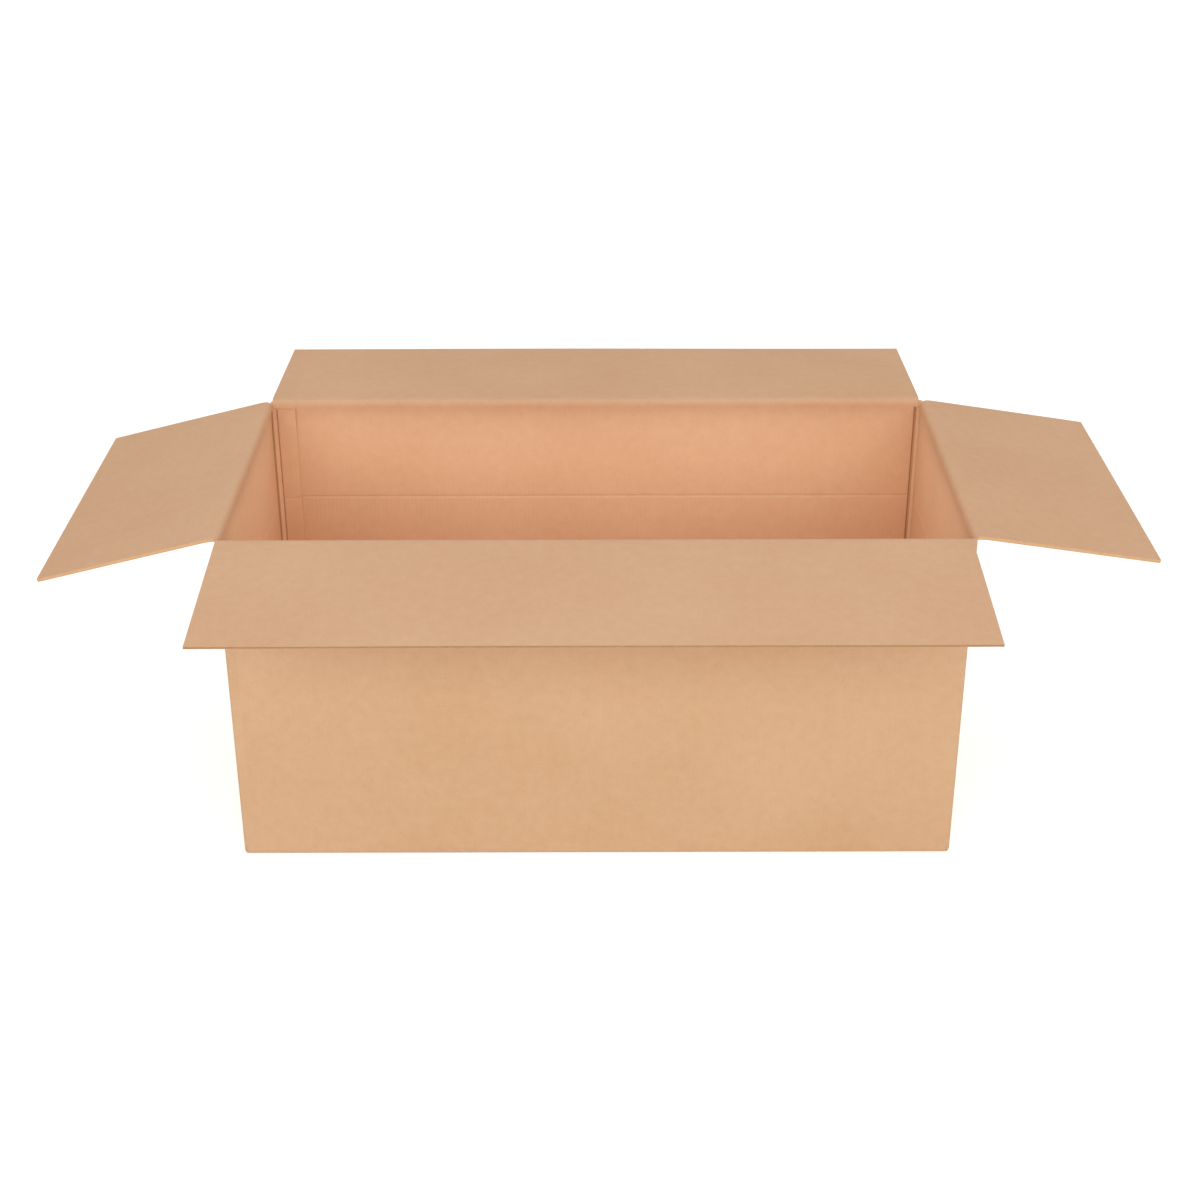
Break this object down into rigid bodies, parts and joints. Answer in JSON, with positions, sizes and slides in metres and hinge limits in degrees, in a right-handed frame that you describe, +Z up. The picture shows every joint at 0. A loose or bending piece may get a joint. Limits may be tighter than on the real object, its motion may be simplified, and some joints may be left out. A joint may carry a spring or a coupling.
{
  "type": "open cardboard box",
  "caption": "Large corrugated shipping carton with its top flaps folded out, a glued corner, an extra fold line round the walls and a taped base.",
  "frame": {"origin": "middle of the base, on the surface that the carton stands on", "axes": "+X along the carton's length to the right, +Y to the back, +Z up"},
  "size_m": [1.7843, 1.1922, 0.5931],
  "materials": {
    "kraft_board": "matte brown kraft liner",
    "packing_tape": "glossy brown film"
  },
  "bodies": {
    "carton": {"carton_body": "kraft_board", "bottom_tape": "packing_tape"},
    "front_flap": {"front_top_flap": "kraft_board"},
    "back_flap": {"back_top_flap": "kraft_board"},
    "left_flap": {"left_top_flap": "kraft_board"},
    "right_flap": {"right_top_flap": "kraft_board"}
  },
  "joints": [
    {"name": "front_fold", "type": "hinge", "parent": "carton", "child": "front_flap", "pos_m": [0, -0.3003, 0.59], "axis": [-1, 0, 0], "range_deg": [-54, 186]},
    {"name": "back_fold", "type": "hinge", "parent": "carton", "child": "back_flap", "pos_m": [0, 0.3003, 0.59], "axis": [1, 0, 0], "range_deg": [-58, 182]},
    {"name": "left_fold", "type": "hinge", "parent": "carton", "child": "left_flap", "pos_m": [-0.6003, 0, 0.586], "axis": [0, 1, 0], "range_deg": [-66, 194]},
    {"name": "right_fold", "type": "hinge", "parent": "carton", "child": "right_flap", "pos_m": [0.6003, 0, 0.586], "axis": [0, -1, 0], "range_deg": [-71.5, 188.5]}
  ]
}
